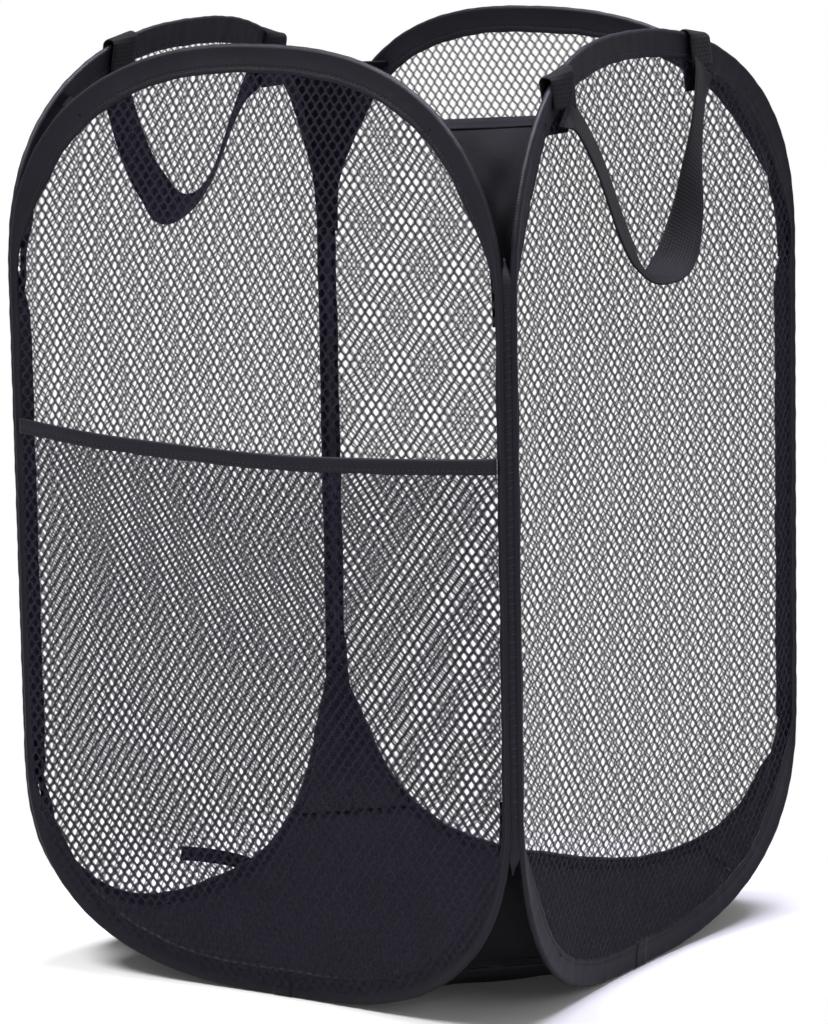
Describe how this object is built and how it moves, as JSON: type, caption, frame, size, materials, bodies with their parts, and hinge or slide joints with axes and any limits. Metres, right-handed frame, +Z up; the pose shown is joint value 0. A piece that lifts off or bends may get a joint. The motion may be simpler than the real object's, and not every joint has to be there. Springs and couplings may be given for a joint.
{
  "type": "pop up laundry hamper",
  "caption": "Tall open-topped folding laundry basket: sprung wire hoops round mesh panels, cloth corners and base, a mesh pocket on one side and webbing handles.",
  "frame": {"origin": "centre of the base panel's flat underside, on the floor", "axes": "+Z up; -Y towards the panel with the pocket; +X towards the side panel on the viewer's right of the pocket"},
  "size_m": [0.4182, 0.38, 0.586],
  "materials": {
    "binding_tape": "satin woven tape",
    "net": "knitted polyester net",
    "cloth": "smooth woven polyester",
    "webbing": "ribbed webbing",
    "steel": "bright drawn spring wire",
    "zinc": "plain crimped tube"
  },
  "bodies": {
    "front": {"front_wire": "steel", "front_ferrule": "zinc", "front_binding": "binding_tape", "front_net": "net", "pocket_net": "net", "pocket_tape": "binding_tape", "base_panel": "cloth", "front_right_seam": "binding_tape", "front_right_gusset": "cloth", "front_right_web": "cloth"},
    "right": {"right_wire": "steel", "right_ferrule": "zinc", "right_binding": "binding_tape", "right_net": "net", "right_handle_first_end": "webbing", "right_handle_second_end": "webbing", "right_back_seam": "binding_tape", "right_back_gusset": "cloth", "right_back_web": "cloth"},
    "back": {"back_wire": "steel", "back_ferrule": "zinc", "back_binding": "binding_tape", "back_net": "net", "back_left_seam": "binding_tape", "back_left_gusset": "cloth", "back_left_web": "cloth"},
    "left": {"left_wire": "steel", "left_ferrule": "zinc", "left_binding": "binding_tape", "left_net": "net", "left_handle_first_end": "webbing", "left_handle_second_end": "webbing", "storage_strap": "webbing", "left_front_seam": "binding_tape", "left_front_gusset": "cloth", "left_front_web": "cloth"},
    "right_handle": {"right_handle": "webbing"},
    "left_handle": {"left_handle": "webbing"}
  },
  "joints": [
    {"name": "fold", "type": "hinge", "parent": "front", "child": "right", "pos_m": [0.17727, -0.17727, 0.293], "axis": [0, 0, 1], "range_deg": [-70, 70], "stiffness_Nm_per_rad": 0.02, "deforming": ["front_right_seam", "front_right_gusset", "front_right_web", "base_panel"]},
    {"name": "left_fold", "type": "hinge", "parent": "front", "child": "left", "pos_m": [-0.17727, -0.17727, 0.293], "axis": [0, 0, 1], "range_deg": [-70, 70], "deforming": ["left_front_seam", "left_front_gusset", "left_front_web", "back_left_seam", "back_left_gusset", "back_left_web"]},
    {"name": "back_fold", "type": "hinge", "parent": "right", "child": "back", "pos_m": [0.17727, 0.17727, 0.293], "axis": [0, 0, 1], "range_deg": [-70, 70], "deforming": ["right_back_seam", "right_back_gusset", "right_back_web"]},
    {"name": "right_handle_swing", "type": "hinge", "parent": "right", "child": "right_handle", "pos_m": [0.174, -0.014, 0.55265], "axis": [0.0198, -0.998, -0.0597], "range_deg": [0, 160]},
    {"name": "left_handle_swing", "type": "hinge", "parent": "left", "child": "left_handle", "pos_m": [-0.174, 0.014, 0.55265], "axis": [-0.0198, 0.998, -0.0597], "range_deg": [0, 160]}
  ],
  "couplings": [
    {"joint": "left_fold", "follows": "fold", "ratio": 1},
    {"joint": "back_fold", "follows": "fold", "ratio": -1}
  ]
}
